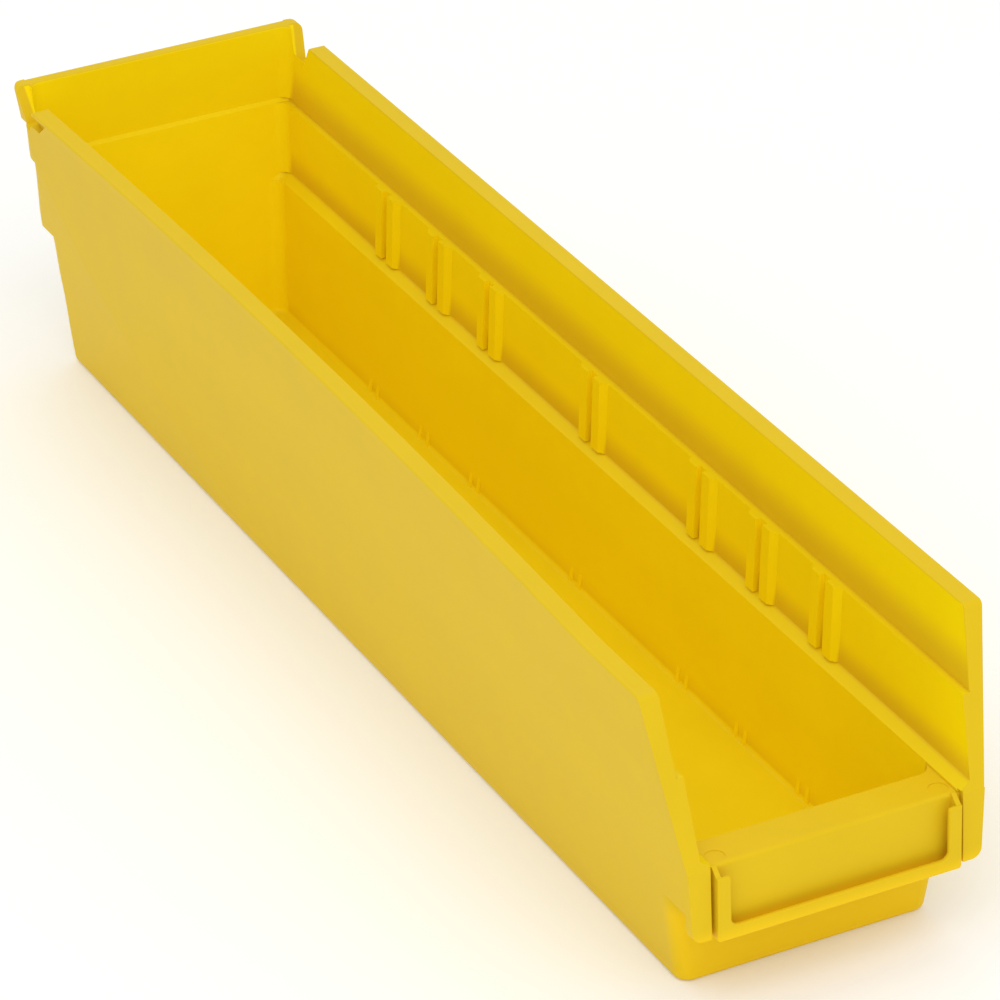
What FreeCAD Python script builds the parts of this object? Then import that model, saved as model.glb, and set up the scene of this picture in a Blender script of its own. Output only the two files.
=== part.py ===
import FreeCAD, Part
import os
import math

# Stackable hopper-front shelf bin with a stepped interior, divider ribs, a label holder and a rear hang lip.
# World frame: +X to the bin's right, +Y to its rear, +Z up; origin under the middle of the bin at floor level.
# Lengths along the bin are stated from the front face of the pillars; front_face_y moves them to the origin.

DIMENSIONS = {
    # overall
    "front_face_y": -225.05,
    "half_width_top": 53.0,
    "half_width_step": 46.7,
    "half_width_base": 39.4,
    "rim_height": 97.8,
    "lip_height": 101.0,
    # outside of the rear end, one set for each level of the stepped rear wall
    "rear_base": 444.0,
    "rear_low_top": 446.0,
    "rear_middle": 450.3,
    "rear_upper": 452.05,
    "low_step_height": 50.7,
    "upper_step_height": 77.5,
    "corner_base": 3.0,
    "corner_low_mid": 8.6,
    "corner_low_top": 12.2,
    "corner_middle_base": 6.1,
    "corner_middle_top": 14.4,
    "corner_upper_base": 12.3,
    "corner_upper_top": 15.8,
    "corner_lip_base": 5.0,
    "corner_lip_top": 4.0,
    "lip_half_width": 51.6,
    "lip_half_width_base": 50.2,
    "lip_edge_radius": 0.8,
    "bottom_radius": 1.8,
    # inward bow of the long left wall, deepest at the rim
    "bow_centre": 252.0,
    "bow_reach": 205.0,
    "bow_depth": 3.8,
    "bow_rim_width": 5.9,
    # inside half widths and levels
    "floor_top": 2.4,
    "floor_half_width": 34.85,
    "low_wall_half_width": 38.4,
    "ledge_low_bottom": 48.1,
    "ledge_low_top": 50.4,
    "middle_wall_base": 41.9,
    "middle_wall_top": 43.2,
    "ledge_upper": 74.1,
    "upper_wall_base": 45.4,
    "upper_wall_top": 47.05,
    "floor_front": 20.3,
    "floor_rear": 436.4,
    "inside_rear_upper_ledge": 447.0,
    "upper_rear_face": 447.8,
    "ledge_upper_rise": 1.3,
    "inside_corner": 4.5,
    "floor_edge_radius": 1.6,
    "ledge_corner": 2.0,
    # hopper front
    "rim_front": 13.8,
    "rim_front_radius": 2.2,
    "rim_edge_radius": 0.5,
    "front_edge_radius": 1.1,
    "front_top_height": 47.3,
    "front_top_depth": 14.4,
    "pillar_base_height": 25.5,
    "pillar_lean": 0.5,
    "pillar_inner": 39.3,
    "pillar_corner_radius": 3.2,
    "pillar_thickness": 3.0,
    "pillar_half_width_base": 45.1,
    "foot_height": 31.0,
    "foot_front_base": 17.4,
    "foot_front_top": 14.1,
    "foot_corner_radius": 4.8,
    "plate_thickness": 2.6,
    # label holder
    "label_face": 2.0,
    "panel_thickness": 2.4,
    "frame_front": -2.0,
    "frame_half_width": 38.1,
    "frame_opening_half_width": 33.9,
    "frame_base": 24.7,
    "frame_bottom_top": 28.8,
    "frame_top_front": 44.9,
    "rail_root": 1.5,
    "rail_lip": 1.1,
    "rail_top_radius": 1.0,
    "frame_corner_radius": 1.0,
    "window_corner_radius": 2.4,
    "frame_edge_radius": 0.6,
    # rear end of the rim and the hang lip
    "rim_rear": 433.2,
    "notch_height": 89.7,
    "notch_front": 437.0,
    "notch_rear": 442.7,
    "notch_front_slope": 0.5,
    "notch_rear_slope": 0.46,
    "lip_panel_half_width": 46.6,
    "lip_corner_radius": 2.3,
    "pocket_front_base": 429.0,
    "pocket_front_top": 423.0,
    "pocket_depth": 3.0,
    "pocket_base": 92.0,
    "pocket_top": 96.6,
    # divider slots
    "slot_gap": 3.6,
    "rib_tip_width": 4.4,
    "rib_root_width": 6.6,
    "rib_depth": 1.8,
    "stub_depth": 0.9,
    "stub_width": 1.7,
    "stub_height": 5.0,
    # round ejector marks in the top of the front ledge
    "pin_mark_x": 34.8,
    "pin_mark_distance": 5.9,
    "pin_mark_radius": 2.9,
    "pin_mark_depth": 0.2,
}

# distance of each divider slot's rear rib face from the pillars
SLOT_POSITIONS = [82.8, 119.5, 155.5, 224.3, 293.8, 330.1, 367.5]

SPAN = 60.0
TOP = 115.0
AHEAD = -12.0

doc = FreeCAD.newDocument("shelf_bin")
sheet = doc.addObject("Spreadsheet::Sheet", "Dims")
for row, (alias, value) in enumerate(DIMENSIONS.items(), start=1):
    sheet.set(f"A{row}", alias)
    sheet.set(f"B{row}", str(value))
    sheet.setAlias(f"B{row}", alias)
first_slot_row = len(DIMENSIONS) + 1
for index, value in enumerate(SLOT_POSITIONS, start=1):
    row = first_slot_row + index
    sheet.set(f"A{row}", f"slot_position_{index}")
    sheet.set(f"B{row}", str(value))
    sheet.setAlias(f"B{row}", f"slot_position_{index}")
doc.recompute()


def dim(alias):
    return f"Dims.{alias}"


def along(distance):
    """World Y of a distance measured back from the pillars' front face."""
    return f"(Dims.front_face_y + {distance})"


def ramp(low, high, low_z, high_z, z):
    """Straight-line value between two levels, as an expression."""
    return f"({low} + (({high}) - ({low})) * (({z}) - ({low_z})) / (({high_z}) - ({low_z})))"


def half_at(height):
    """Outer half width of the side wall at a height; its draft changes a little at the low step."""
    below = ramp(dim("half_width_base"), dim("half_width_step"), "0", dim("low_step_height"), height)
    above = ramp(dim("half_width_step"), dim("half_width_top"), dim("low_step_height"), dim("rim_height"), height)
    return f"(({height}) < Dims.low_step_height ? {below} : {above})"


def add(kind, name):
    obj = doc.addObject(kind, name)
    obj.Label = name
    return obj


def frustum(name, lower, upper):
    """Solid between two level rectangles, each (x0, x1, y0, y1, z) as expressions."""
    wedge = add("Part::Wedge", name)
    values = {
        "Xmin": lower[0], "Xmax": lower[1], "Zmin": f"-({lower[3]})", "Zmax": f"-({lower[2]})",
        "Ymin": lower[4], "Ymax": upper[4],
        "X2min": upper[0], "X2max": upper[1], "Z2min": f"-({upper[3]})", "Z2max": f"-({upper[2]})",
    }
    for prop, expression in values.items():
        wedge.setExpression(prop, str(expression))
    wedge.Placement = FreeCAD.Placement(FreeCAD.Vector(0, 0, 0), FreeCAD.Rotation(FreeCAD.Vector(1, 0, 0), 90))
    doc.recompute()
    return wedge


def block(name, x0, x1, y0, y1, z0, z1):
    return frustum(name, (x0, x1, y0, y1, z0), (x0, x1, y0, y1, z1))


def centred(name, half_low, half_high, y_low, y_high, z0, z1):
    return frustum(name, (f"-({half_low})", half_low, y_low[0], y_low[1], z0),
                   (f"-({half_high})", half_high, y_high[0], y_high[1], z1))


def fuse(name, parts):
    obj = add("Part::MultiFuse", name)
    obj.Shapes = parts
    obj.Refine = True
    doc.recompute()
    return obj


def common(name, parts):
    obj = add("Part::MultiCommon", name)
    obj.Shapes = parts
    obj.Refine = True
    doc.recompute()
    return obj


def cut(name, base, tool):
    obj = add("Part::Cut", name)
    obj.Base = base
    obj.Tool = tool
    obj.Refine = True
    doc.recompute()
    return obj


def rounded(name, base, choose):
    """Fillet the edges for which choose(edge) gives (radius at lower end, radius at upper end)."""
    chosen = []
    for number, edge in enumerate(base.Shape.Edges, start=1):
        radii = choose(edge)
        if radii is None:
            continue
        low, high = radii
        if edge.valueAt(edge.FirstParameter).z > edge.valueAt(edge.LastParameter).z:
            low, high = high, low
        chosen.append((number, low, high))
    obj = add("Part::Fillet", name)
    obj.Base = base
    obj.Edges = chosen
    doc.recompute()
    return obj


def value(alias):
    return float(sheet.get(alias))


def upright(edge):
    """True for the side edges of a block or frustum."""
    return abs(edge.Vertexes[0].Z - edge.Vertexes[-1].Z) > 0.5


def upright_edges(front_radii, rear_radii):
    def choose(edge):
        if not upright(edge):
            return None
        return rear_radii if edge.CenterOfMass.y > 0 else front_radii
    return choose


# ---------------------------------------------------------------- outer form
front_at_top = along("0")
front_lean = along("-Dims.pillar_lean")
foot = centred("foot_form", half_at("0"), half_at(dim("foot_height")),
               (along(dim("foot_front_base")), along(dim("rear_base"))),
               (along(dim("foot_front_top")),
                along(ramp(dim("rear_base"), dim("rear_low_top"), "0", dim("low_step_height"),
                           dim("foot_height")))),
               "0", dim("foot_height"))


def foot_edges(edge):
    if upright(edge):
        if edge.CenterOfMass.y > 0:
            return value("corner_base"), value("corner_low_mid")
        return value("foot_corner_radius"), value("foot_corner_radius")
    if edge.CenterOfMass.z < 0.01:
        return value("bottom_radius"), value("bottom_radius")
    return None


foot_rounded = rounded("foot_form_rounded", foot, foot_edges)

low = centred("low_form", half_at(dim("foot_height")), half_at(dim("low_step_height")),
              (front_at_top, along(ramp(dim("rear_base"), dim("rear_low_top"), "0", dim("low_step_height"),
                                        dim("foot_height")))),
              (front_at_top, along(dim("rear_low_top"))),
              dim("foot_height"), dim("low_step_height"))
low_rounded = rounded("low_form_rounded", low,
                      upright_edges(None, (value("corner_low_mid"), value("corner_low_top"))))

middle = centred("middle_form", half_at(dim("low_step_height")), half_at(dim("upper_step_height")),
                 (front_at_top, along(dim("rear_middle"))), (front_at_top, along(dim("rear_middle"))),
                 dim("low_step_height"), dim("upper_step_height"))
middle_rounded = rounded("middle_form_rounded", middle,
                         upright_edges(None, (value("corner_middle_base"), value("corner_middle_top"))))

upper = centred("upper_form", half_at(dim("upper_step_height")), half_at(dim("notch_height")),
                (front_at_top, along(dim("rear_upper"))), (front_at_top, along(dim("rear_upper"))),
                dim("upper_step_height"), dim("notch_height"))
upper_rounded = rounded("upper_form_rounded", upper,
                        upright_edges(None, (value("corner_upper_base"), value("corner_upper_top"))))

crown = centred("crown_form", half_at(dim("notch_height")), half_at(dim("rim_height")),
                (front_at_top, along(dim("notch_front"))), (front_at_top, along(dim("notch_front"))),
                dim("notch_height"), dim("rim_height"))
lip = centred("lip_form", dim("lip_half_width_base"), dim("lip_half_width"),
              (along(dim("notch_front")), along(dim("rear_upper"))),
              (along(dim("notch_front")), along(dim("rear_upper"))),
              dim("notch_height"), dim("lip_height"))


def lip_edges(edge):
    if upright(edge):
        if edge.CenterOfMass.y > value("front_face_y") + value("rear_upper") - 1:
            return value("corner_lip_base"), value("corner_lip_top")
        return None
    lengthwise = abs(edge.Vertexes[0].Y - edge.Vertexes[-1].Y) > 10
    if lengthwise and edge.CenterOfMass.z > value("lip_height") - 0.01:
        return value("lip_corner_radius"), value("lip_corner_radius")
    return None


lip_rounded = rounded("lip_form_rounded", lip, lip_edges)
panel_form = centred("panel_form", dim("pillar_inner"), dim("pillar_inner"),
                     (along(dim("label_face")), along("Dims.label_face + Dims.panel_thickness")),
                     (along(dim("label_face")), along("Dims.label_face + Dims.panel_thickness")),
                     dim("pillar_base_height"), dim("foot_height"))


def plate_edges(edge):
    lengthwise = abs(edge.Vertexes[0].Y - edge.Vertexes[-1].Y) > 1
    outermost = abs(edge.CenterOfMass.x) > value("pillar_inner") + 1
    if lengthwise and outermost and edge.CenterOfMass.z < value("pillar_base_height") + 0.1:
        return value("pillar_corner_radius"), value("pillar_corner_radius")
    return None


plates = []
for plate_side in ("left", "right"):
    inner, low_out, high_out = dim("pillar_inner"), dim("pillar_half_width_base"), half_at(dim("front_top_height"))
    low_x, high_x = (inner, low_out), (inner, high_out)
    if plate_side == "left":
        low_x, high_x = (f"-{low_out}", f"-{inner}"), (f"-{high_out}", f"-{inner}")
    plate = frustum(f"pillar_plate_{plate_side}",
                    (*low_x, front_lean, along(dim("pillar_thickness")), dim("pillar_base_height")),
                    (*high_x, front_at_top, along(dim("pillar_thickness")), dim("front_top_height")))
    plates.append(rounded(f"pillar_plate_{plate_side}_rounded", plate, plate_edges))
outer = fuse("outer_form", [foot_rounded, low_rounded, middle_rounded, upper_rounded, crown, lip_rounded,
                            panel_form] + plates)

# ---------------------------------------------------------------- inner form
rear_inside_low = ramp(dim("floor_rear"), dim("inside_rear_upper_ledge"), dim("floor_top"),
                       dim("ledge_upper"), dim("ledge_low_bottom"))
rear_inside_mid = ramp(dim("floor_rear"), dim("inside_rear_upper_ledge"), dim("floor_top"),
                       dim("ledge_upper"), dim("ledge_low_top"))
front_inside = ramp(dim("floor_front"), dim("front_top_depth"), dim("floor_top"),
                    dim("front_top_height"), dim("ledge_low_bottom"))
well = centred("well_form", dim("floor_half_width"), dim("low_wall_half_width"),
               (along(dim("floor_front")), along(dim("floor_rear"))),
               (along(front_inside), along(rear_inside_low)),
               dim("floor_top"), dim("ledge_low_bottom"))


def well_edges(edge):
    if upright(edge):
        return value("inside_corner"), value("inside_corner")
    if edge.CenterOfMass.z < value("floor_top") + 0.01:
        return value("floor_edge_radius"), value("floor_edge_radius")
    return None


well_rounded = rounded("well_form_rounded", well, well_edges)
corner_radii = (value("inside_corner"), value("inside_corner"))
ledge_band = centred("ledge_band", dim("low_wall_half_width"), dim("middle_wall_base"),
                     (along(str(AHEAD)), along(rear_inside_low)), (along(str(AHEAD)), along(rear_inside_mid)),
                     dim("ledge_low_bottom"), dim("ledge_low_top"))
ledge_corner_radii = (value("ledge_corner"), value("ledge_corner"))
ledge_band_rounded = rounded("ledge_band_rounded", ledge_band, upright_edges(None, ledge_corner_radii))
front_mouth = centred("front_mouth", dim("low_wall_half_width"), dim("low_wall_half_width"),
                      (along(str(AHEAD)), along("40")), (along(str(AHEAD)), along("40")),
                      dim("front_top_height"), dim("ledge_low_bottom"))
middle_well = centred("middle_well", dim("middle_wall_base"), dim("middle_wall_top"),
                      (along(str(AHEAD)), along(rear_inside_mid)),
                      (along(str(AHEAD)), along(dim("inside_rear_upper_ledge"))),
                      dim("ledge_low_top"), dim("ledge_upper"))
middle_well_rounded = rounded("middle_well_rounded", middle_well, upright_edges(None, corner_radii))
ledge_crest = "(Dims.ledge_upper + Dims.ledge_upper_rise)"
upper_band = centred("upper_ledge_band", dim("upper_wall_base"), dim("upper_wall_base"),
                     (along(str(AHEAD)), along(dim("inside_rear_upper_ledge"))),
                     (along(str(AHEAD)), along(dim("upper_rear_face"))),
                     dim("ledge_upper"), ledge_crest)
upper_band_rounded = rounded("upper_ledge_band_rounded", upper_band, upright_edges(None, ledge_corner_radii))
upper_well = centred("upper_well", dim("upper_wall_base"),
                     ramp(dim("upper_wall_base"), dim("upper_wall_top"), ledge_crest,
                          dim("rim_height"), str(TOP)),
                     (along(str(AHEAD)), along(dim("upper_rear_face"))),
                     (along(str(AHEAD)), along(dim("upper_rear_face"))),
                     ledge_crest, str(TOP))
upper_well_rounded = rounded("upper_well_rounded", upper_well, upright_edges(None, corner_radii))

# hopper slope, level rim and the V notches ahead of the hang lip
slope_at_top = ramp("0", dim("rim_front"), dim("front_top_height"), dim("rim_height"), str(TOP))
hopper_cut = centred("hopper_cut", str(SPAN), str(SPAN),
                     (along(str(AHEAD)), along("0")), (along(str(AHEAD)), along(slope_at_top)),
                     dim("front_top_height"), str(TOP))
rim_cut = centred("rim_cut", str(SPAN), str(SPAN),
                  (along(str(AHEAD)), along(dim("rim_rear"))), (along(str(AHEAD)), along(dim("rim_rear"))),
                  dim("rim_height"), str(TOP))
notch_rise = f"({TOP} - Dims.notch_height)"
notch_cut = centred("notch_cut", str(SPAN), str(SPAN),
                    (along(dim("notch_front")), along(dim("notch_rear"))),
                    (along(f"Dims.notch_front - Dims.notch_front_slope * {notch_rise}"),
                     along(f"Dims.notch_rear + Dims.notch_rear_slope * {notch_rise}")),
                    dim("notch_height"), str(TOP))
lip_keep = centred("lip_panel_space", dim("lip_panel_half_width"), dim("lip_panel_half_width"),
                   (along(dim("notch_front")), along("500")), (along(dim("notch_front")), along("500")),
                   dim("notch_height"), str(TOP))
notch_ends = cut("notch_ends", notch_cut, lip_keep)
pocket_left = frustum("pocket_left",
                      (str(-SPAN), f"-{half_at(dim('pocket_base'))} + Dims.pocket_depth",
                       along(dim("pocket_front_base")), along(dim("notch_rear")), dim("pocket_base")),
                      (str(-SPAN), f"-{half_at(dim('pocket_top'))} + Dims.pocket_depth",
                       along(dim("pocket_front_top")), along(dim("notch_rear")), dim("pocket_top")))
pocket_right = frustum("pocket_right",
                       (f"{half_at(dim('pocket_base'))} - Dims.pocket_depth", str(SPAN),
                        along(dim("pocket_front_base")), along(dim("notch_rear")), dim("pocket_base")),
                       (f"{half_at(dim('pocket_top'))} - Dims.pocket_depth", str(SPAN),
                        along(dim("pocket_front_top")), along(dim("notch_rear")), dim("pocket_top")))

# open space under the front ledge, between the label panel and the foot wall
foot_front_at_channel = ramp(dim("foot_front_base"), dim("foot_front_top"), "0", dim("foot_height"),
                             "Dims.pillar_base_height - 1")
channel = centred("front_channel", dim("pillar_inner"), dim("pillar_inner"),
                  (along("Dims.label_face + Dims.panel_thickness"), along(foot_front_at_channel)),
                  (along("Dims.label_face + Dims.panel_thickness"),
                   along("Dims.front_top_depth - Dims.plate_thickness")),
                  "Dims.pillar_base_height - 1", "Dims.front_top_height - Dims.plate_thickness")
label_recess = centred("label_recess", dim("pillar_inner"), dim("pillar_inner"),
                       (along(str(AHEAD)), along(dim("label_face"))),
                       (along(str(AHEAD)), along(dim("label_face"))),
                       "Dims.pillar_base_height - 1", "Dims.front_top_height + 1")
voids = fuse("voids", [well_rounded, ledge_band_rounded, front_mouth, middle_well_rounded,
                       upper_band_rounded, upper_well_rounded, hopper_cut, rim_cut, notch_ends, pocket_left,
                       pocket_right, channel, label_recess])
bare_shell = cut("bare_shell", outer, voids)

# short tapered stubs on the floor line, one pair under each divider slot
wall_at_stub_top = ramp(dim("floor_half_width"), dim("low_wall_half_width"), dim("floor_top"),
                        dim("ledge_low_bottom"), "Dims.floor_top + Dims.stub_height")


def stub(name, side, start, end):
    """Wedge-shaped stub between two distances along the bin, on side -1 (left) or +1 (right)."""
    low_in = f"({dim('floor_half_width')} - Dims.stub_depth)"
    low_out = f"({dim('floor_half_width')} + 0.4)"
    high_in = f"({wall_at_stub_top} - 0.1)"
    high_out = f"({wall_at_stub_top} + 0.4)"
    if side > 0:
        lower_x, upper_x = (low_in, low_out), (high_in, high_out)
    else:
        lower_x = (f"-{low_out}", f"-{low_in}")
        upper_x = (f"-{high_out}", f"-{high_in}")
    return frustum(name, (*lower_x, along(start), along(end), "Dims.floor_top - 0.5"),
                   (*upper_x, along(start), along(end), "Dims.floor_top + Dims.stub_height"))


SIDES = [("left", -1), ("right", 1)]
slot_count = len(SLOT_POSITIONS)
stubs = []
for side_name, side in SIDES:
    for index in range(1, slot_count + 1):
        slot = dim(f"slot_position_{index}")
        stubs.append(stub(f"stub_{side_name}_{index}_rear", side, slot, f"{slot} + Dims.stub_width"))
        stubs.append(stub(f"stub_{side_name}_{index}_front", side,
                          f"{slot} - Dims.slot_gap - Dims.stub_width", f"{slot} - Dims.slot_gap"))

# the left wall leans in along its middle: a wide shallow arc, pressed into the outside and added to the inside
bow_radius = "((Dims.bow_reach * Dims.bow_reach + Dims.bow_depth * Dims.bow_depth) / (2 * Dims.bow_depth))"
bow_size = (value("bow_reach") ** 2 + value("bow_depth") ** 2) / (2 * value("bow_depth"))
bow_y = value("front_face_y") + value("bow_centre")
deepest_base = value("half_width_base")
deepest_top = value("half_width_top") - value("bow_depth")
bow_lean = math.atan2(deepest_top - deepest_base, value("rim_height"))
press = add("Part::Cylinder", "bow_outside")
press.setExpression("Radius", bow_radius)
press.setExpression("Height", "2 * Dims.rim_height")
start = -value("rim_height") / 4
press.Placement = FreeCAD.Placement(
    FreeCAD.Vector(-deepest_base - bow_size * math.cos(bow_lean) - start * math.sin(bow_lean), bow_y,
                   start * math.cos(bow_lean) - bow_size * math.sin(bow_lean)),
    FreeCAD.Rotation(FreeCAD.Vector(0, 1, 0), -math.degrees(bow_lean)))
filling = add("Part::Cylinder", "bow_inside")
filling.setExpression("Radius", f"{bow_radius} + Dims.bow_rim_width")
filling.setExpression("Height", f"Dims.rim_height - {ledge_crest}")
filling.Placement = FreeCAD.Placement(
    FreeCAD.Vector(-deepest_top - bow_size, bow_y, value("ledge_upper") + value("ledge_upper_rise")),
    FreeCAD.Rotation())
doc.recompute()
bow_space = block("bow_space", "-Dims.upper_wall_top - 0.4", "-Dims.upper_wall_top + 8",
                  along("Dims.bow_centre - Dims.bow_reach"), along(dim("rim_rear")),
                  ledge_crest, dim("rim_height"))
bow_fill = common("bow_fill", [filling, bow_space])
thick_shell = fuse("thick_shell", [bare_shell, bow_fill] + stubs)
shell = cut("shell", thick_shell, press)

# ---------------------------------------------------------------- regions of the named members

BELOW = "-1"
front_limit = dim("floor_front")
floor_zone = block("floor_zone", f"-{dim('floor_half_width')}", dim("floor_half_width"),
                   along(dim("floor_front")), along(dim("floor_rear")), BELOW,
                   "Dims.floor_top + Dims.floor_edge_radius")
front_zone = block("front_zone", f"-{dim('pillar_inner')}", dim("pillar_inner"),
                   along(str(AHEAD)), along(front_limit), BELOW, dim("front_top_height"))
panel_zone = block("panel_zone", f"-{dim('pillar_inner')}", dim("pillar_inner"),
                   along(str(AHEAD)), along("Dims.label_face + Dims.panel_thickness"),
                   BELOW, "Dims.front_top_height - Dims.plate_thickness")
ledge_zone = block("ledge_zone", f"-{dim('pillar_inner')}", dim("pillar_inner"),
                   along(str(AHEAD)), along(front_limit),
                   "Dims.front_top_height - Dims.plate_thickness", dim("front_top_height"))
foot_zone = cut("foot_zone", front_zone, fuse("panel_and_ledge_zone", [panel_zone, ledge_zone]))
rear_half = dim("low_wall_half_width")
rear_zone = block("rear_zone", f"-{rear_half}", rear_half, along(dim("floor_rear")), along("500"),
                  BELOW, dim("notch_height"))
lip_panel_zone = block("lip_panel_zone", f"-{dim('lip_panel_half_width')}", dim("lip_panel_half_width"),
                       along(dim("notch_front")), along("500"), dim("notch_height"), str(TOP))
members = {}
for name, zone in [("floor_plate", floor_zone), ("label_panel", panel_zone),
                   ("front_foot_wall", foot_zone), ("rear_wall", rear_zone)]:
    members[name] = common(name, [shell, zone])


def lip_top_edges(edge):
    """The two edges along the top of the hang lip."""
    across = abs(edge.Vertexes[0].X - edge.Vertexes[-1].X) > 20
    if across and edge.CenterOfMass.z > value("lip_height") - 0.1:
        return value("lip_edge_radius"), value("lip_edge_radius")
    return None


def ledge_front_edge(edge):
    """The front top edge of the ledge over the label panel."""
    middle_of_edge = edge.CenterOfMass
    across = abs(edge.Vertexes[0].X - edge.Vertexes[-1].X) > 20
    at_front = middle_of_edge.y < value("front_face_y") + value("label_face") + 0.1
    if across and at_front and middle_of_edge.z > value("front_top_height") - 0.1:
        return value("front_edge_radius"), value("front_edge_radius")
    return None


members["hang_lip_panel"] = rounded("hang_lip_panel", common("hang_lip_form", [shell, lip_panel_zone]),
                                    lip_top_edges)
ledge_rounded = rounded("front_ledge_rounded", common("front_ledge_form", [shell, ledge_zone]),
                        ledge_front_edge)
pin_marks = []
for side_name, side in SIDES:
    mark = add("Part::Cylinder", f"pin_mark_{side_name}")
    mark.setExpression("Radius", dim("pin_mark_radius"))
    mark.setExpression("Placement.Base.x", f"{side} * Dims.pin_mark_x")
    mark.setExpression("Placement.Base.y", along(dim("pin_mark_distance")))
    mark.setExpression("Placement.Base.z", "Dims.front_top_height - Dims.pin_mark_depth")
    pin_marks.append(mark)
members["front_ledge"] = cut("front_ledge", ledge_rounded, fuse("pin_marks", pin_marks))


def rim_corner(edge):
    """The bend where the level rim turns down into the hopper slope."""
    middle_of_edge = edge.CenterOfMass
    across = abs(edge.Vertexes[0].X - edge.Vertexes[-1].X) > 2
    ahead = middle_of_edge.y < value("front_face_y") + value("rim_front") + 1
    at_rim = middle_of_edge.z > value("rim_height") - 0.01
    if across and ahead and at_rim:
        return value("rim_front_radius"), value("rim_front_radius")
    return None


def rim_long_edge(edge):
    """The long edges of the level rim; the leaning left wall keeps its inner edge crisp."""
    middle_of_edge = edge.CenterOfMass
    lengthwise = abs(edge.Vertexes[0].Y - edge.Vertexes[-1].Y) > 2.5
    inner_left = -value("upper_wall_top") - 1 < middle_of_edge.x < 0
    if lengthwise and not inner_left and middle_of_edge.z > value("rim_height") - 0.3:
        return value("rim_edge_radius"), value("rim_edge_radius")
    return None


taken = fuse("taken_zones", [floor_zone, front_zone, rear_zone, lip_panel_zone])
for side, x0, x1 in [("left", str(-SPAN), "0"), ("right", "0", str(SPAN))]:
    flange_zone = block(f"flange_zone_{side}", x0, x1, along(dim("notch_front")), along("500"),
                        dim("notch_height"), str(TOP))
    flange_only = cut(f"flange_only_{side}", flange_zone, lip_panel_zone)
    members[f"hang_lip_flange_{side}"] = common(f"hang_lip_flange_{side}", [shell, flange_only])
    pillar_zone = block(f"pillar_zone_{side}", x0, x1, along(str(AHEAD)), along(dim("foot_front_top")),
                        dim("pillar_base_height"), dim("front_top_height"))
    pillar_only = cut(f"pillar_only_{side}", pillar_zone, front_zone)
    members[f"front_pillar_{side}"] = common(f"front_pillar_{side}", [shell, pillar_only])
    half_zone = block(f"half_zone_{side}", x0, x1, along(str(AHEAD)), along("500"), BELOW, str(TOP))
    others = fuse(f"other_zones_{side}", [taken, pillar_zone, flange_zone])
    side_zone = cut(f"side_zone_{side}", half_zone, others)
    wall = common(f"side_wall_form_{side}", [shell, side_zone])
    wall_bent = rounded(f"side_wall_bent_{side}", wall, rim_corner)
    members[f"side_wall_{side}"] = rounded(f"side_wall_{side}", wall_bent, rim_long_edge)


# ---------------------------------------------------------------- label holder
frame_block = block("frame_block", f"-{dim('frame_half_width')}", dim("frame_half_width"),
                    along(dim("frame_front")), along(dim("label_face")),
                    dim("frame_base"), dim("front_top_height"))


def crosswise_low(edge):
    lengthwise = abs(edge.Vertexes[0].Y - edge.Vertexes[-1].Y) > 1
    if lengthwise and edge.CenterOfMass.z < value("frame_base") + 0.1:
        return value("frame_corner_radius"), value("frame_corner_radius")
    return None


def opening_low(edge):
    lengthwise = abs(edge.Vertexes[0].Y - edge.Vertexes[-1].Y) > 1
    if lengthwise and edge.CenterOfMass.z < value("frame_bottom_top") + 0.1:
        return value("window_corner_radius"), value("window_corner_radius")
    return None


frame_rounded = rounded("frame_rounded", frame_block, crosswise_low)
opening = block("label_window", f"-{dim('frame_opening_half_width')}", dim("frame_opening_half_width"),
                along(str(AHEAD)), along(dim("label_face")), dim("frame_bottom_top"), str(TOP))
window = rounded("label_window_rounded", opening, opening_low)
slot_half = "(Dims.frame_half_width - Dims.rail_root)"
card_slot = block("card_slot", f"-{slot_half}", slot_half,
                  along("Dims.frame_front + Dims.rail_lip"), along(dim("label_face")),
                  "Dims.frame_base + Dims.rail_root + 0.2", str(TOP))
rise = "(Dims.front_top_height - Dims.frame_top_front)"
reach = "(Dims.label_face - Dims.frame_front - Dims.rail_lip)"
top_slope = centred("frame_top_slope", str(SPAN), str(SPAN),
                    (along("Dims.frame_front - 5"), along("Dims.frame_front + Dims.rail_lip")),
                    (along("Dims.frame_front - 5"), along(f"Dims.frame_front + Dims.rail_lip + 2 * {reach}")),
                    dim("frame_top_front"), f"Dims.frame_top_front + 2 * {rise}")
frame = cut("label_frame", frame_rounded, fuse("frame_voids", [window, card_slot, top_slope]))


def front_rim(edge):
    """Edges of the frame's front face."""
    at_front = all(abs(v.Y - value("front_face_y") - value("frame_front")) < 0.01 for v in edge.Vertexes)
    if at_front and edge.CenterOfMass.z < value("frame_top_front") - 0.1:
        return value("frame_edge_radius"), value("frame_edge_radius")
    return None


def lip_top_corner(edge):
    """The corner at the top of a rail's lip, beside the label window."""
    middle_of_edge = edge.CenterOfMass
    lengthwise = abs(edge.Vertexes[0].Y - edge.Vertexes[-1].Y) > 0.3
    at_window = abs(abs(middle_of_edge.x) - value("frame_opening_half_width")) < 0.05
    if lengthwise and at_window and abs(middle_of_edge.z - value("frame_top_front")) < 0.05:
        return value("rail_top_radius"), value("rail_top_radius")
    return None


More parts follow.
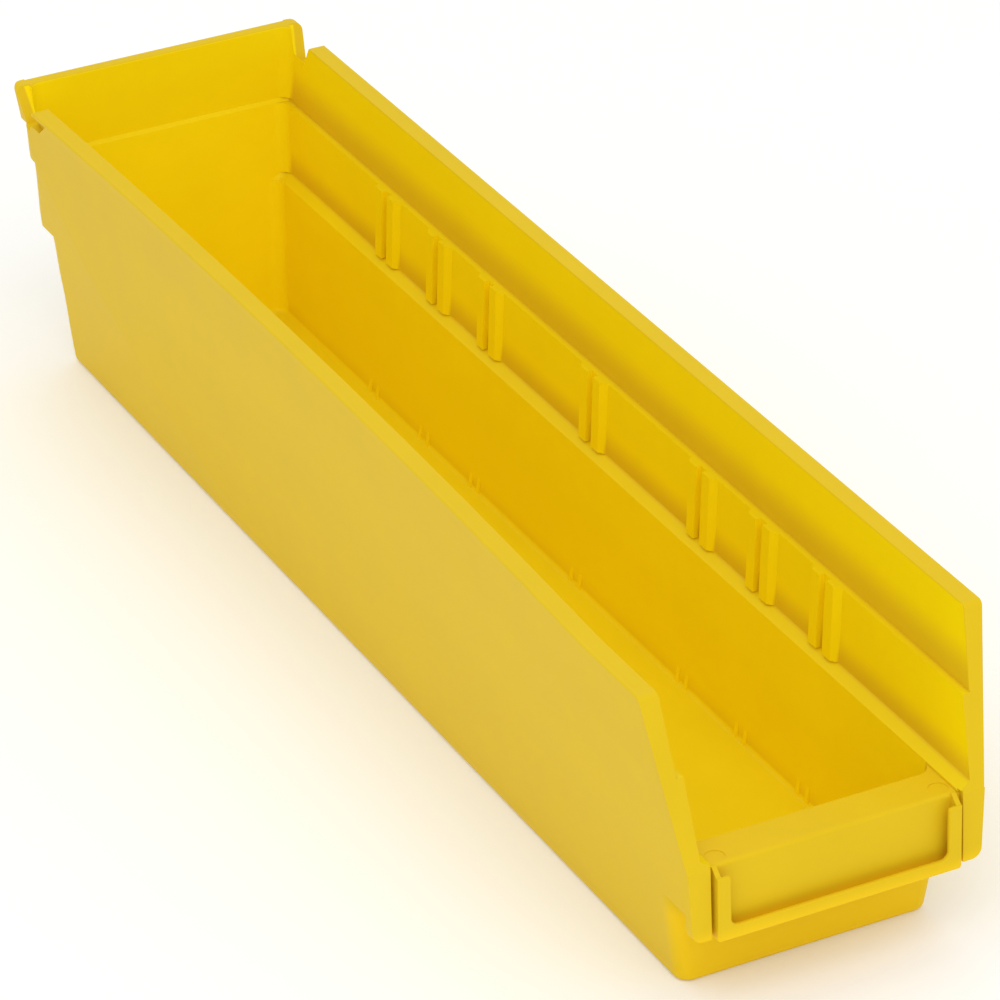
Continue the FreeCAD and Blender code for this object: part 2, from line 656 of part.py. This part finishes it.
frame_topped = rounded("label_frame_topped", frame, lip_top_corner)
frame_soft = rounded("label_frame_soft", frame_topped, front_rim)
bottom_zone = block("label_rail_zone_bottom", str(-SPAN), str(SPAN), along(str(AHEAD)), along("20"),
                    BELOW, dim("frame_bottom_top"))
members["label_rail_bottom"] = common("label_rail_bottom", [frame_soft, bottom_zone])
for side, x0, x1 in [("left", str(-SPAN), "0"), ("right", "0", str(SPAN))]:
    rail_zone = block(f"label_rail_zone_{side}", x0, x1, along(str(AHEAD)), along("20"),
                      dim("frame_bottom_top"), str(TOP))
    members[f"label_rail_{side}"] = common(f"label_rail_{side}", [frame_soft, rail_zone])

# ---------------------------------------------------------------- divider ribs
# Each slot is held between two ribs on the middle wall: a square face towards the slot, a sloped flank away.
wall_rise = "(Dims.ledge_upper - Dims.ledge_low_top)"
wall_lean = "(Dims.middle_wall_top - Dims.middle_wall_base)"
lean_angle = math.atan2(value("middle_wall_top") - value("middle_wall_base"),
                        value("ledge_upper") - value("ledge_low_top"))


def rib(name, side, slot_face, facing):
    """Rib with its square face at slot_face and its flank on the facing side (+1 rear, -1 front)."""
    wedge = add("Part::Wedge", name)
    outward = facing * side
    root = ("0", dim("rib_root_width")) if outward > 0 else (f"-{dim('rib_root_width')}", "0")
    tip = ("0", dim("rib_tip_width")) if outward > 0 else (f"-{dim('rib_tip_width')}", "0")
    length = f"sqrt({wall_rise} * {wall_rise} + {wall_lean} * {wall_lean})"
    values = {"Xmin": root[0], "Xmax": root[1], "X2min": tip[0], "X2max": tip[1],
              "Ymin": "0", "Ymax": dim("rib_depth"),
              "Zmin": "0", "Zmax": length, "Z2min": "0", "Z2max": length}
    for prop, expression in values.items():
        wedge.setExpression(prop, expression)
    inward = FreeCAD.Vector(-side * math.cos(lean_angle), 0, math.sin(lean_angle))
    up = FreeCAD.Vector(side * math.sin(lean_angle), 0, math.cos(lean_angle))
    wedge.Placement = FreeCAD.Placement(
        FreeCAD.Vector(side * value("middle_wall_base"), value("front_face_y") + slot_face,
                       value("ledge_low_top")),
        FreeCAD.Rotation(FreeCAD.Vector(0, side, 0), inward, up, "ZYX"))
    return wedge


for side_name, side in SIDES:
    for index in range(1, slot_count + 1):
        face = value(f"slot_position_{index}")
        rear_name = f"divider_rib_{side_name}_{index}_rear"
        front_name = f"divider_rib_{side_name}_{index}_front"
        members[rear_name] = rib(rear_name, side, face, 1)
        members[front_name] = rib(front_name, side, face - value("slot_gap"), -1)

# ---------------------------------------------------------------- checks and export
doc.recompute()
for obj in doc.Objects:
    if "Invalid" in obj.State or "Error" in obj.State:
        raise RuntimeError(f"{obj.Name} did not recompute: {obj.State}")
    if hasattr(obj, "Shape") and (obj.Shape.isNull() or not obj.Shape.isValid()):
        raise RuntimeError(f"{obj.Name} has no valid shape")
os.makedirs("parts", exist_ok=True)
for name, member in members.items():
    if len(member.Shape.Solids) != 1:
        raise RuntimeError(f"{name} is {len(member.Shape.Solids)} solids")
    member.Shape.exportStep(f"parts/{name}.step")
print(len(members), "members written")
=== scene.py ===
import math

import bpy
from mathutils import Matrix, Vector


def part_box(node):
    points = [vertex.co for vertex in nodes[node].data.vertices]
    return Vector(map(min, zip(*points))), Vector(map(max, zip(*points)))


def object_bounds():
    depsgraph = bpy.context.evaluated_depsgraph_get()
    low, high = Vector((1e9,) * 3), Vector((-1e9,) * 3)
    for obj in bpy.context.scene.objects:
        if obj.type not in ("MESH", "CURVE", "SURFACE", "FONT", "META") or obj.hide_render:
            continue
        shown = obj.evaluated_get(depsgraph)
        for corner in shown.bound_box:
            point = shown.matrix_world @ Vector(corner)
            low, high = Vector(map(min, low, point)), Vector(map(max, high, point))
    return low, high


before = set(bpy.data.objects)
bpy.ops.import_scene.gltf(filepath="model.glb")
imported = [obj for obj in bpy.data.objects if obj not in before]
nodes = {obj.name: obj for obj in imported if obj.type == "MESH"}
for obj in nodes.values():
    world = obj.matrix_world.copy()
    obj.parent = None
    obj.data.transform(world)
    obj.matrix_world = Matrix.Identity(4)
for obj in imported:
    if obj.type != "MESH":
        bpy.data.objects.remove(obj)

MM = 0.001
cad_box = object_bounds()
scene = bpy.context.scene

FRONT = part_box("front_pillar_left")[0][1]
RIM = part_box("side_wall_left")[1][2]
LIP = cad_box[1][2]
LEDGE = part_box("front_ledge")[1][2]
# Half of the bin's width at floor level, and how fast the side walls flare above it on average
WALL_BASE = 39.4 * MM
WALL_DRAFT = (cad_box[1][0] - WALL_BASE) / RIM


# Shader building blocks

def node(tree, kind, **settings):
    made = tree.nodes.new(kind)
    for name, setting in settings.items():
        setattr(made, name, setting)
    return made


def feed(tree, socket, source):
    """A number is set on the socket, and an output is linked to it."""
    if isinstance(source, (int, float)):
        socket.default_value = source
    else:
        tree.links.new(source, socket)


def math_node(tree, operation, first, second=0.0, third=0.0):
    made = node(tree, "ShaderNodeMath", operation=operation)
    for socket, source in zip(made.inputs, (first, second, third)):
        feed(tree, socket, source)
    return made.outputs["Value"]


def product(tree, *factors):
    result = factors[0]
    for factor in factors[1:]:
        result = math_node(tree, "MULTIPLY", result, factor)
    return result


def step_up(tree, source, start, end):
    """0 below start, 1 above end, smooth between; start above end turns it round."""
    made = node(tree, "ShaderNodeMapRange", interpolation_type="SMOOTHSTEP")
    feed(tree, made.inputs["Value"], source)
    feed(tree, made.inputs["From Min"], start)
    feed(tree, made.inputs["From Max"], end)
    return made.outputs["Result"]


def mix(tree, kind, factor, first, second):
    made = node(tree, "ShaderNodeMix", data_type=kind)
    for name, source in (("Factor", factor), ("A", first), ("B", second)):
        feed(tree, made.inputs[name], source)
    return made.outputs["Result"]


def noise(tree, place, scale, detail=2.0, roughness=0.5):
    made = node(tree, "ShaderNodeTexNoise")
    feed(tree, made.inputs["Vector"], place)
    feed(tree, made.inputs["Scale"], scale)
    feed(tree, made.inputs["Detail"], detail)
    feed(tree, made.inputs["Roughness"], roughness)
    return made.outputs["Fac"]


def new_material(name):
    material = bpy.data.materials.new(name)
    material.use_nodes = True
    tree = material.node_tree
    return material, tree, tree.nodes["Principled BSDF"]


# Yellow moulded plastic, with one tone for each kind of face. The tones were tuned against the photo.
# The bin itself is taken to be one colour: the tones are painted light and shade, which make up for light
# that this opaque shader leaves out.

# Painted shade on the outside faces, a painted glow on the inside walls, a weaker painted glow on the
# inside faces that face up, and a painted glow on the recessed foot.
YELLOW_OUTSIDE_PAINTED_SHADE = (0.79, 0.54, 0.012)
YELLOW_INSIDE_PAINTED_GLOW = (0.99, 0.765, 0.003)
YELLOW_UP_FACING_PAINTED_GLOW = (0.86, 0.64, 0.005)
YELLOW_FOOT_PAINTED_GLOW = (0.97, 0.63, 0.008)

# Each pair is where a change of painted tone starts and where it is complete.
# Side wall depths are measured in from the outside of the wall.
SIDE_WALL_DEPTH = (4.5 * MM, 5.3 * MM)
LEDGE_BACK = (FRONT + 18.5 * MM, FRONT + 19.5 * MM)
LEDGE_TOP = (LEDGE + 0.2 * MM, LEDGE + 1.0 * MM)
TURNED_FROM_FRONT = (-0.25, -0.1)
FACING_UP = (0.3, 0.9)
LIP_FRONT = (FRONT + 434.0 * MM, FRONT + 437.0 * MM)
REAR_STEP_HEIGHT = (49.5 * MM, 51.0 * MM)
FOOT_BACK = (FRONT + 24.0 * MM, FRONT + 14.0 * MM)
FOOT_TOP = (30.0 * MM, 23.0 * MM)

# A surface within the thickness of the rear wall, which parts its inside from its outside
REAR_AT_FLOOR = FRONT + 440.4 * MM
REAR_AT_TOP = FRONT + 449.3 * MM
REAR_LEAN = 0.0875
REAR_STEP = 3.6 * MM
REAR_BLEND = 0.5 * MM

# The painted inside glow ends this far under the top of the rim and the lip, and fades over this height
# below that
CREST_DROP = 0.2 * MM
CREST_BLEND = 0.4 * MM


def rear_parting(tree, z):
    leaning = math_node(tree, "MULTIPLY_ADD", z, REAR_LEAN, REAR_AT_FLOOR)
    stepped = math_node(tree, "MULTIPLY_ADD", step_up(tree, z, *REAR_STEP_HEIGHT), REAR_STEP, leaning)
    return math_node(tree, "MINIMUM", stepped, REAR_AT_TOP)


def painted_glow_masks(tree, place, normal_y):
    """Masks of painted glow: 1 on the bin's inside faces and on the recessed foot, 0 elsewhere."""
    split = node(tree, "ShaderNodeSeparateXYZ")
    tree.links.new(place, split.inputs["Vector"])
    x, y, z = split.outputs

    wall = math_node(tree, "MULTIPLY_ADD", z, WALL_DRAFT, WALL_BASE)
    depth_in_wall = math_node(tree, "SUBTRACT", wall, math_node(tree, "ABSOLUTE", x))
    above_ledge = product(tree, step_up(tree, z, *LEDGE_TOP), step_up(tree, normal_y, *TURNED_FROM_FRONT))
    past_ledge = math_node(tree, "MAXIMUM", step_up(tree, y, *LEDGE_BACK), above_ledge)
    before_rear = math_node(tree, "SUBTRACT", rear_parting(tree, z), y)
    crest = math_node(tree, "MULTIPLY_ADD", step_up(tree, y, *LIP_FRONT), LIP - RIM, RIM - CREST_DROP)
    below_crest = math_node(tree, "SUBTRACT", crest, z)

    # Where the painted glow of the inside faces goes, and below, where the painted glow of the foot goes.
    inside = product(tree, step_up(tree, depth_in_wall, *SIDE_WALL_DEPTH), past_ledge,
                     step_up(tree, before_rear, 0.0, REAR_BLEND),
                     step_up(tree, below_crest, 0.0, CREST_BLEND))
    foot = product(tree, step_up(tree, y, *FOOT_BACK), step_up(tree, z, *FOOT_TOP))
    return inside, foot


def toned(tree, pattern, colour):
    """The colour, a little darker where the pattern is low and lighter where it is high."""
    ramp = node(tree, "ShaderNodeValToRGB")
    for element, position, level in zip(ramp.color_ramp.elements, (0.3, 0.7), (0.965, 1.02)):
        element.position = position
        element.color = tuple(min(1.0, channel * level) for channel in colour) + (1,)
    tree.links.new(pattern, ramp.inputs["Fac"])
    return ramp.outputs["Color"]


def colour_with_painted_light(tree, place, pattern):
    """The base colour: one mottled tone for each kind of face, the tones being painted light and shade on
    one colour.
    """
    facing = node(tree, "ShaderNodeSeparateXYZ")
    tree.links.new(node(tree, "ShaderNodeNewGeometry").outputs["Normal"], facing.inputs["Vector"])
    painted_inside_glow_mask, painted_foot_glow_mask = painted_glow_masks(tree, place, facing.outputs["Y"])
    # Painted shade on the outside faces, with a painted glow on the recessed foot.
    outside = mix(tree, "RGBA", painted_foot_glow_mask,
                  toned(tree, pattern, YELLOW_OUTSIDE_PAINTED_SHADE), toned(tree, pattern, YELLOW_FOOT_PAINTED_GLOW))
    # Painted glow on the inside faces, weaker where they face up.
    inside = mix(tree, "RGBA", step_up(tree, facing.outputs["Z"], *FACING_UP),
                 toned(tree, pattern, YELLOW_INSIDE_PAINTED_GLOW), toned(tree, pattern, YELLOW_UP_FACING_PAINTED_GLOW))
    return mix(tree, "RGBA", painted_inside_glow_mask, outside, inside)


def moulded_plastic(name, roughness, grain, grain_height):
    """Moulded plastic with a fine surface grain, faint flow streaks, small changes of gloss and tones of
    painted light and shade.
    """
    material, tree, shader = new_material(name)
    links = tree.links
    place = node(tree, "ShaderNodeTexCoord").outputs["Object"]
    mottle = noise(tree, place, 38.0, 5.0, 0.6)

    stretch = node(tree, "ShaderNodeMapping")
    stretch.inputs["Scale"].default_value = (30.0, 3.0, 60.0)
    links.new(place, stretch.inputs["Vector"])
    flow = noise(tree, stretch.outputs["Vector"], 1.0)
    pattern = mix(tree, "FLOAT", 0.4, mottle, flow)
    links.new(colour_with_painted_light(tree, place, pattern), shader.inputs["Base Color"])

    gloss = node(tree, "ShaderNodeMapRange")
    gloss.inputs["To Min"].default_value = roughness - 0.04
    gloss.inputs["To Max"].default_value = roughness + 0.05
    links.new(mottle, gloss.inputs["Value"])
    links.new(gloss.outputs["Result"], shader.inputs["Roughness"])

    bump = node(tree, "ShaderNodeBump")
    bump.inputs["Strength"].default_value = 0.5
    bump.inputs["Distance"].default_value = grain_height
    links.new(noise(tree, place, grain, 3.0, 0.65), bump.inputs["Height"])
    links.new(bump.outputs["Normal"], shader.inputs["Normal"])

    shader.inputs["IOR"].default_value = 1.49
    shader.inputs["Specular IOR Level"].default_value = 0.08
    return material


plastic = moulded_plastic("moulded_yellow", roughness=0.42, grain=1500.0, grain_height=0.06 * MM)

for piece in nodes.values():
    piece.data.materials.clear()
    piece.data.materials.append(plastic)


# Floor

FLOOR_HALF = 6.0
FLOOR_GAP = 0.2 * MM


def floor_material():
    """A near-white floor, which glows slightly so that it stays white in the shade of the bin."""
    material, tree, shader = new_material("pale_floor")
    place = node(tree, "ShaderNodeTexCoord").outputs["Object"]
    ramp = node(tree, "ShaderNodeValToRGB")
    for element, level in zip(ramp.color_ramp.elements, (0.94, 0.96)):
        element.color = (level, level, level, 1)
    tree.links.new(noise(tree, place, 3.0), ramp.inputs["Fac"])
    tree.links.new(ramp.outputs["Color"], shader.inputs["Base Color"])
    shader.inputs["Roughness"].default_value = 0.8
    shader.inputs["Emission Color"].default_value = (1, 1, 1, 1)
    shader.inputs["Emission Strength"].default_value = 0.1
    shader.inputs["Specular IOR Level"].default_value = 0.2
    return material


def square_sheet(name, half, material):
    mesh = bpy.data.meshes.new(name)
    mesh.from_pydata([(-half, -half, 0), (half, -half, 0), (half, half, 0), (-half, half, 0)],
                     [], [(0, 1, 2, 3)])
    mesh.update()
    mesh.materials.append(material)
    made = bpy.data.objects.new(name, mesh)
    scene.collection.objects.link(made)
    return made


floor = square_sheet("pale_floor", FLOOR_HALF, floor_material())
floor.location.z = cad_box[0][2] - FLOOR_GAP


# Light

LIT_POINT = Vector((0, 0.05, 0.05))


def area_light(name, place, power, width, height, colour):
    light = bpy.data.lights.new(name, "AREA")
    light.shape = "RECTANGLE"
    light.size = width
    light.size_y = height
    light.energy = power
    light.color = colour
    made = bpy.data.objects.new(name, light)
    scene.collection.objects.link(made)
    made.location = place
    made.rotation_euler = (LIT_POINT - Vector(place)).to_track_quat("-Z", "Y").to_euler()


area_light("top_soft", (0.0, 0.6, 1.6), power=4, width=1.8, height=1.4, colour=(0.93, 1.0, 0.86))
area_light("key_soft", (-0.45, -1.3, 1.8), power=15, width=2.0, height=1.6, colour=(1.0, 0.99, 0.97))

world = bpy.data.worlds.new("studio")
scene.world = world
world.use_nodes = True
background = world.node_tree.nodes["Background"]
background.inputs["Color"].default_value = (1, 1, 1, 1)
background.inputs["Strength"].default_value = 0.72

scene.view_settings.view_transform = "Standard"
scene.view_settings.look = "None"


# Camera, at the place and angle that were fitted to the photo

CAMERA_PLACE = Vector((-627.251, -1312.349, 851.294)) * MM
CAMERA_AZIMUTH = math.radians(25.938)
CAMERA_TILT = math.radians(29.138)
CAMERA_ROLL = math.radians(-1.811)
CAMERA_LENS = 197.865

forward = Vector((math.sin(CAMERA_AZIMUTH) * math.cos(CAMERA_TILT),
                  math.cos(CAMERA_AZIMUTH) * math.cos(CAMERA_TILT), -math.sin(CAMERA_TILT)))
level = Vector((math.cos(CAMERA_AZIMUTH), -math.sin(CAMERA_AZIMUTH), 0))
upright = level.cross(forward)
right = math.cos(CAMERA_ROLL) * level + math.sin(CAMERA_ROLL) * upright
up = -math.sin(CAMERA_ROLL) * level + math.cos(CAMERA_ROLL) * upright
camera_data = bpy.data.cameras.new("camera")
camera_data.lens = CAMERA_LENS
camera_data.sensor_width = 36.0
camera_data.clip_start = 0.05
camera_data.clip_end = 50.0
camera = bpy.data.objects.new("camera", camera_data)
scene.collection.objects.link(camera)
camera.matrix_world = Matrix(((right.x, up.x, -forward.x, CAMERA_PLACE.x),
                              (right.y, up.y, -forward.y, CAMERA_PLACE.y),
                              (right.z, up.z, -forward.z, CAMERA_PLACE.z),
                              (0, 0, 0, 1)))
scene.camera = camera
